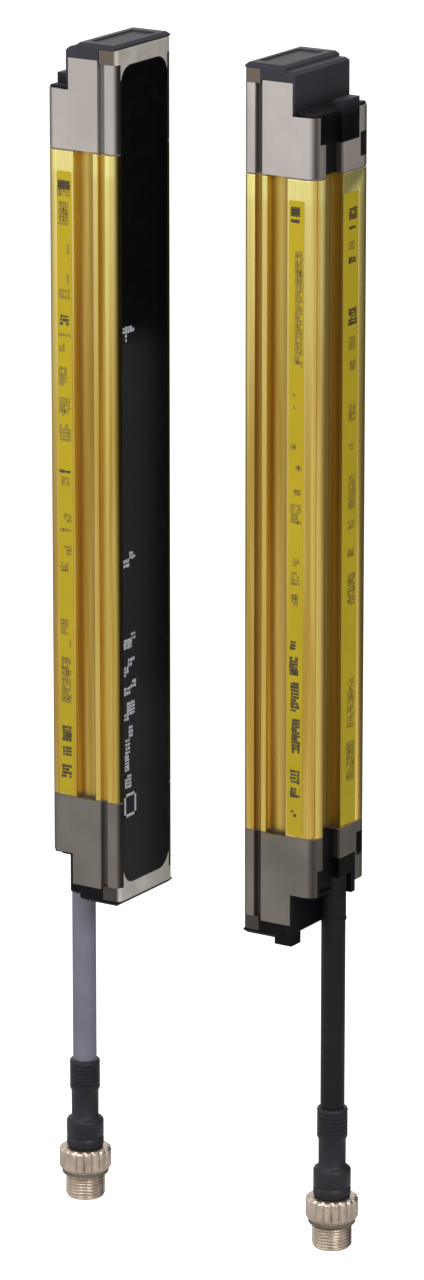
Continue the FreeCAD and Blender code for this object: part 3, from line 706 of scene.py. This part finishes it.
class Shape(Builder):
    """A Geometry Nodes tree with named inputs, whose result is kept as a plain mesh."""

    def __init__(self, name, sizes):
        tree = bpy.data.node_groups.new(name, "GeometryNodeTree")
        tree.is_modifier = True
        tree.interface.new_socket("Geometry", in_out="INPUT", socket_type="NodeSocketGeometry")
        kinds = {float: "NodeSocketFloat", int: "NodeSocketInt", tuple: "NodeSocketVector"}
        self.keys = {}
        for label, value in sizes.items():
            socket = tree.interface.new_socket(label, in_out="INPUT", socket_type=kinds[type(value)])
            self.keys[label] = socket.identifier
        tree.interface.new_socket("Geometry", in_out="OUTPUT", socket_type="NodeSocketGeometry")
        super().__init__(tree)
        self.sizes = sizes
        self.given = self.node("NodeGroupInput")

    def finish(self, geometry, material):
        """Ends the tree: instances made real, one material."""
        real = self.node("GeometryNodeRealizeInstances", {}, {"Geometry": geometry})
        made = self.node("GeometryNodeSetMaterial", {}, {"Geometry": real[0], "Material": material})
        self.node("NodeGroupOutput", {}, {"Geometry": made[0]})

    def grow(self, name, mesh):
        """Runs the tree on a mesh and returns the result as a new mesh."""
        holder = place_in_scene(name, mesh)
        growth = holder.modifiers.new("growth", "NODES")
        growth.node_group = self.tree
        for label, value in self.sizes.items():
            growth[self.keys[label]] = value
        result = bpy.data.meshes.new_from_object(holder.evaluated_get(bpy.context.evaluated_depsgraph_get()))
        bpy.data.objects.remove(holder)
        return result


def printed_rows(name, ink, sizes):
    """The tree of a printed strip: small plates of random length on a random share of the given points."""
    made = Shape(name, sizes)
    given = made.given
    seed = given["Seed"]
    chance = {"Probability": given["Kept"], "Seed": seed}
    kept = made.node("FunctionNodeRandomValue", {"data_type": "BOOLEAN"}, chance)
    points = made.node("GeometryNodeMeshToPoints", {}, {"Mesh": given["Geometry"], "Selection": kept[3]})
    plate = made.node("GeometryNodeMeshCube", {}, {"Size": given["Plate"]})
    spread = made.node("FunctionNodeRandomValue", {"data_type": "FLOAT_VECTOR"},
                       {0: given["Least"], 1: given["Most"], "Seed": seed + 1})
    inputs = {"Points": points[0], "Instance": plate[0], "Scale": spread[0]}
    placed = made.node("GeometryNodeInstanceOnPoints", {}, inputs)
    made.finish(placed[0], ink)
    return made


def points_mesh(name, places):
    """Loose points, given in millimetres."""
    mesh = bpy.data.meshes.new(name)
    mesh.from_pydata([tuple(c * mm for c in place) for place in places], [], [])
    return mesh


def run_places(runs, pitch, plane):
    """Points that fill patches of a strip: each patch has a top, a bottom and two sides."""
    places = []
    for top, bottom, left, right in runs:
        rows = max(1, round((top - bottom) / pitch))
        columns = max(1, round((right - left) / pitch))
        for row in range(rows):
            height = top - (top - bottom) * (row + 0.5) / rows
            for column in range(columns):
                places.append(plane(left + (right - left) * (column + 0.5) / columns, height))
    return places


def make_print(bar, label, runs, pitch, plane, ink, sizes):
    """One printed pattern on a bar, drawn in the bar's own frame."""
    name = f"{bar}_{label}"
    rows = printed_rows(name, ink, sizes)
    mesh = rows.grow(f"{name}_rows", points_mesh(f"{name}_points", run_places(runs, pitch, plane)))
    mesh.transform(to_part[bar])
    dress(place_in_scene(name, mesh), ink, "label_film")


def make_label(bar, part, low, high):
    """A label plate with rounded corners, between two points in the bar's own frame, in millimetres."""
    radius = 0.5
    corner_step = 15
    # The axis that the plate is thin along, and the level axis that it spreads along
    flat = 0 if part == "back_label" else 1
    across = 1 - flat
    middle = [(a + b) / 2 for a, b in zip(low, high)]
    half_across = (high[across] - low[across]) / 2
    half_up = (high[2] - low[2]) / 2
    corners = []
    for turn in range(0, 360, corner_step):
        angle = math.radians(turn + corner_step / 2)
        side = math.copysign(half_across - radius, math.cos(angle)) + radius * math.cos(angle)
        up = math.copysign(half_up - radius, math.sin(angle)) + radius * math.sin(angle)
        corners.append((side, up))
    work = bmesh.new()
    layers = []
    for level in (low[flat], high[flat]):
        layer = []
        for side, up in corners:
            place = [0.0, 0.0, middle[2] + up]
            place[flat] = level
            place[across] = middle[across] + side
            layer.append(work.verts.new([c * mm for c in place]))
        layers.append(layer)
        work.faces.new(layer)
    count = len(corners)
    for index in range(count):
        after = (index + 1) % count
        work.faces.new((layers[0][index], layers[0][after], layers[1][after], layers[1][index]))
    bmesh.ops.recalc_face_normals(work, faces=work.faces)
    mesh = bpy.data.meshes.new(f"{bar}_{part}_film")
    work.to_mesh(mesh)
    work.free()
    mesh.transform(to_part[bar])
    dress(place_in_scene(mesh.name, mesh), finishes[part], "label_film", f"{bar}_{part}")


label_ink = printed_ink("label_ink", rgb(0.27, 0.22, 0.09))
faint_ink = printed_ink("faint_ink", rgb(0.52, 0.44, 0.11))
window_ink = printed_ink("window_ink", rgb(0.68, 0.69, 0.72))

# Patches of small printed marks in millimetres: top, bottom, and the two sides across the strip
solid_runs = {
    "emitter": [(88.7, 86.1, 16.0, 20.2)],
    "receiver": [(89.6, 87.0, 16.2, 19.2), (86.3, 84.9, 16.2, 19.0)],
}
side_runs = {
    "emitter": [(48.9, 45.6, 16.6, 19.8), (2.2, 1.2, 16.4, 20.2),
                (-76.0, -80.8, 16.6, 19.8), (-82.4, -85.4, 16.6, 19.8), (-88.0, -92.2, 16.6, 20.0)],
    "receiver": [(-38.0, -40.9, 16.4, 18.2), (-42.9, -48.5, 16.2, 19.0), (-50.5, -59.5, 16.6, 19.4),
                 (-61.5, -71.9, 17.0, 19.8), (-76.9, -81.1, 16.6, 19.8), (-82.3, -85.4, 16.6, 19.8),
                 (-88.1, -91.3, 16.8, 18.6)],
}
faint_runs = {
    "emitter": [(86.0, 84.0, 16.0, 20.4), (82.5, 75.4, 16.6, 20.0), (70.0, 66.0, 16.2, 17.4),
                (61.0, 58.0, 16.2, 17.6), (56.5, 53.5, 16.2, 20.2),
                (43.3, 42.3, 16.0, 20.2), (40.2, 37.7, 18.0, 20.2),
                (33.2, 27.6, 17.4, 20.2), (24.1, 18.4, 16.4, 20.2), (16.0, 10.8, 16.2, 20.2),
                (0.1, -2.4, 16.8, 19.4), (-11.0, -13.6, 16.2, 18.8), (-15.5, -16.6, 16.4, 20.0),
                (-20.6, -23.6, 16.2, 18.8), (-25.8, -28.8, 17.4, 20.0), (-43.2, -48.1, 17.4, 20.2),
                (-49.6, -51.8, 16.2, 17.4), (-55.0, -69.0, 16.6, 20.0)],
    "receiver": [(77.1, 43.1, 17.6, 20.2), (36.4, 34.3, 16.8, 19.0), (31.9, 30.5, 16.8, 18.2),
                 (20.3, 18.8, 16.2, 18.2), (14.2, 12.7, 18.2, 19.8), (7.2, 5.4, 17.4, 19.8),
                 (2.8, -3.1, 16.4, 19.8), (-13.4, -15.8, 17.2, 19.4), (-17.3, -21.5, 16.6, 19.4),
                 (-24.1, -27.6, 16.6, 19.0)],
}
back_runs = [(87.0, 83.5, 2.2, 6.8), (81.7, 80.6, 2.2, 6.0), (72.6, 70.8, 2.2, 6.0), (57.6, 52.6, 2.2, 6.8)]
back_faint_runs = [(77.3, 74.7, 2.2, 5.6), (49.3, 45.2, 2.4, 6.2), (42.2, 39.3, 3.0, 6.4),
                   (29.5, 24.2, 2.6, 6.4), (17.7, 15.4, 2.4, 5.6), (8.0, -2.0, 2.8, 6.6),
                   (-5.3, -7.9, 2.6, 6.4), (-13.8, -16.2, 2.4, 5.8), (-21.2, -30.9, 2.4, 6.8),
                   (-53.0, -68.0, 2.6, 6.4), (-72.0, -84.0, 2.4, 6.8)]

# Which way along Y a bar's side label and the marks on its window lie, in the bar's own frame
label_way = {"emitter": 1.0, "receiver": -1.0}

# The strips in millimetres: their ends, their edges across, and how far out their film and print lie
label_low = -96.9
label_high = 91.5
side_label_edges = (15.6, 20.6)
side_film = (15.0, 15.1)
side_print_level = 15.12
back_label_edges = (-0.6, 7.6)
back_film = (24.85, 24.97)
back_print_level = 24.985
window_print_level = -0.004
print_thickness = 0.03

# How the printed rows are filled: seed, share of plates kept, size of a plate, and the range of its stretch
side_print = {"Seed": 4, "Kept": 0.9, "Plate": (0.85 * mm, 0.05 * mm, 0.8 * mm),
              "Least": (0.7, 1.0, 0.7), "Most": (1.5, 1.0, 1.3)}
solid_print = side_print | {"Kept": 1.0, "Least": (1.15, 1.0, 1.2), "Most": (1.4, 1.0, 1.4)}
back_print = side_print | {"Seed": 9, "Plate": (print_thickness * mm, 0.85 * mm, 0.8 * mm),
                           "Least": (1.0, 0.7, 0.7), "Most": (1.0, 1.5, 1.3)}
window_print = {"Seed": 3, "Kept": 0.93, "Plate": (print_thickness * mm, 0.9 * mm, 0.8 * mm),
                "Least": (1.0, 0.9, 0.7), "Most": (1.0, 1.4, 1.5)}
label_pitch = 0.95
window_pitch = 1.15


def back_plane(across, height):
    return (back_print_level, across, height)


def label_bar(bar):
    """Both label strips of a bar, with their print."""
    way = label_way[bar]

    def side_plane(across, height):
        return (across, way * side_print_level, height)

    low, high = side_label_edges
    first, last = sorted(way * level for level in side_film)
    make_label(bar, "side_label", (low, first, label_low), (high, last, label_high))
    low, high = back_label_edges
    first, last = back_film
    make_label(bar, "back_label", (first, low, label_low), (last, high, label_high))
    make_print(bar, "side_marks", side_runs[bar], label_pitch, side_plane, label_ink, side_print)
    make_print(bar, "side_faint_marks", faint_runs[bar], label_pitch, side_plane, faint_ink, side_print)
    make_print(bar, "side_solid_marks", solid_runs[bar], label_pitch, side_plane, label_ink, solid_print)
    make_print(bar, "back_marks", back_runs, label_pitch, back_plane, label_ink, back_print)
    make_print(bar, "back_faint_marks", back_faint_runs, label_pitch, back_plane, faint_ink, back_print)


for bar in bars:
    label_bar(bar)

# The small pale marks beside the indicator lights, near the window's edge, and the outline below them, in
# millimetres
indicator_runs = [(46.5, 44.5, 5.8, 12.0), (44.3, 41.8, 9.6, 12.0), (-21.5, -23.9, 5.8, 8.8),
                  (-23.3, -26.1, 9.0, 12.0), (-46.2, -48.7, 5.6, 8.2), (-47.9, -50.9, 7.6, 12.0),
                  (-53.8, -56.6, 6.2, 10.0), (-56.2, -59.3, 9.4, 12.0), (-60.8, -63.4, 5.4, 8.6),
                  (-62.4, -65.1, 8.6, 12.0), (-67.3, -71.5, 6.2, 10.4), (-70.5, -72.9, 9.4, 12.0),
                  (-74.6, -78.4, 7.4, 9.4), (-78.4, -83.4, 8.8, 11.4), (-83.4, -88.6, 9.4, 11.6),
                  (-89.6, -93.8, 8.2, 11.6)]
icon_left = 12.0
icon_width = 6.4
icon_height = 7.2
icon_line = 0.9
icon_top = -95.5


def mark_window(bar):
    """The print on a bar's window: the patches, and below them a plain outline of four thin bars."""
    way = label_way[bar]

    def window_plane(across, height):
        return (window_print_level, way * across, height)

    make_print(bar, "window_marks", indicator_runs, window_pitch, window_plane, window_ink, window_print)
    left, right = icon_left, icon_left - icon_width
    top, bottom = icon_top, icon_top - icon_height
    outline = [(left, right, top - icon_line, top), (left, right, bottom, bottom + icon_line),
               (left, left - icon_line, bottom, top), (right + icon_line, right, bottom, top)]
    work = bmesh.new()
    for first, second, low, high in outline:
        centre = (window_print_level * mm, way * (first + second) / 2 * mm, (low + high) / 2 * mm)
        size = (print_thickness * mm, (first - second) * mm, (high - low) * mm)
        bmesh.ops.create_cube(work, matrix=Matrix.LocRotScale(centre, None, size))
    mesh = bpy.data.meshes.new(f"{bar}_window_icon")
    work.to_mesh(mesh)
    work.free()
    mesh.transform(to_part[bar])
    dress(place_in_scene(mesh.name, mesh), window_ink, "label_film")


for bar in bars:
    mark_window(bar)


black = (0.0, 0.0, 0.0, 1.0)
white = (1.0, 1.0, 1.0, 1.0)


def make_sheet(name, corners, material):
    """A flat sheet with four corners."""
    mesh = bpy.data.meshes.new(name)
    mesh.from_pydata(corners, [], [(0, 1, 2, 3)])
    sheet = place_in_scene(name, mesh)
    wear(sheet, material)
    return sheet


def make_floor():
    """A plain pale floor below the plugs."""
    half_size = 6.0
    glow = 0.8
    height = cad_box[0].z - 60.0 * mm
    constants = {"Base Color": (0.9, 0.9, 0.9, 1.0), "Roughness": 0.9, "Specular IOR Level": 0.1,
                 "Emission Strength": 1.0}
    made = Finish("floor_paint", constants)
    seen = made.node("ShaderNodeLightPath")["Is Camera Ray"]
    made.feed("Emission Color", made.blend(seen * glow, black, white))
    corners = [(half_size * a, half_size * b, height) for a, b in ((-1, -1), (1, -1), (1, 1), (-1, 1))]
    floor = make_sheet("floor", corners, made.material)


def make_world():
    """White to the camera and to mirror-like light, and a soft even light on everything else."""
    world = bpy.data.worlds.new("studio")
    bpy.context.scene.world = world
    world.use_nodes = True
    made = Builder(world.node_tree)
    rays = made.node("ShaderNodeLightPath")
    seen = (rays["Is Camera Ray"] + rays["Is Glossy Ray"] + rays["Is Transmission Ray"]).clamped()
    soft_light = 0.35
    strength = soft_light + seen * (1.0 - soft_light)
    back = made.node("ShaderNodeBackground", {}, {"Color": white, "Strength": strength})
    made.node("ShaderNodeOutputWorld", {}, {"Surface": back[0]})


def make_softbox(name, place, target, size, power):
    """One rectangular lamp that looks at a point."""
    lamp = bpy.data.lights.new(name, "AREA")
    lamp.shape = "RECTANGLE"
    lamp.size, lamp.size_y = size
    lamp.energy = power
    holder = place_in_scene(name, lamp)
    holder.location = place
    holder.rotation_euler = (Vector(target) - Vector(place)).to_track_quat("-Z", "Y").to_euler()


def make_camera():
    """The photograph's view: a long lens, a little above the bars."""
    azimuth = math.radians(32.25)
    elevation = math.radians(15.7)
    distance = 1900.0 * mm
    target = Vector((-44.84 * mm, 0.0, -47.04 * mm))
    sensor = 36.0
    picture_height = 1280.0
    focal_pixels = 6460.0
    level = math.cos(elevation)
    back = Vector((math.sin(azimuth) * level, -math.cos(azimuth) * level, math.sin(elevation)))
    camera = bpy.data.cameras.new("camera")
    camera.sensor_width = sensor
    camera.lens = focal_pixels / (picture_height / sensor)
    camera.clip_start = 0.1
    camera.clip_end = 50.0
    holder = place_in_scene("camera", camera)
    holder.location = target + back * distance
    holder.rotation_mode = "QUATERNION"
    holder.rotation_quaternion = (-back).to_track_quat("-Z", "Y")
    bpy.context.scene.camera = holder


def make_dark_card():
    """A dark card behind the bars that the camera can't see: only the glossy windows and metals mirror it."""
    made = Finish("card_paint", {"Roughness": 1.0, "Specular IOR Level": 0.0})
    way = Vector((0.514, 0.814, -0.271))
    side = Vector((0.846, -0.534, 0.0))
    up = Vector((0.0, 0.0, 1.0))
    half_side = 0.30
    half_up = 0.16
    distance = 0.5
    centre = Vector((midway - window_off, 0.0, 0.0)) + way * distance
    x, y, z = made.parts(made.place())
    # The card is paler low down and towards the receiver's side
    across = x * side.x + y * side.y - centre.dot(side)
    share = across.smooth(-1.0 * mm, 8.0 * mm) * 0.75 + z.smooth(-195.0 * mm, -215.0 * mm) * 0.2
    low = z.smooth(-64.0 * mm, -74.0 * mm)
    receiver_side = across.smooth(20.0 * mm, 40.0 * mm)
    paler = (low + receiver_side - low * receiver_side) * share
    made.feed("Base Color", made.blend(paler, (0.003, 0.003, 0.003, 1.0), (0.30, 0.30, 0.30, 1.0)))
    made.feed("Alpha", 1.0 - made.node("ShaderNodeLightPath")["Is Camera Ray"])
    spots = ((-1, -1), (1, -1), (1, 2.2), (-1, 2.2))
    corners = [centre + side * half_side * a + up * half_up * b for a, b in spots]
    card = make_sheet("dark_card", corners, made.material)


make_floor()
make_world()
make_dark_card()
middle = Vector((midway, 0.0, 0.0))
top_end = Vector((midway, 0.0, 110.0 * mm))
make_softbox("key_light", (1.2, -0.8, 0.8), middle, (0.6, 0.6), 14.0)
make_softbox("top_light", (-0.15, -0.5, 0.42), top_end, (0.3, 0.3), 2.2)
make_softbox("fill_light", (-1.2, -0.9, 0.3), middle, (0.8, 0.8), 2.5)
make_camera()
bpy.context.scene.view_settings.view_transform = "Standard"
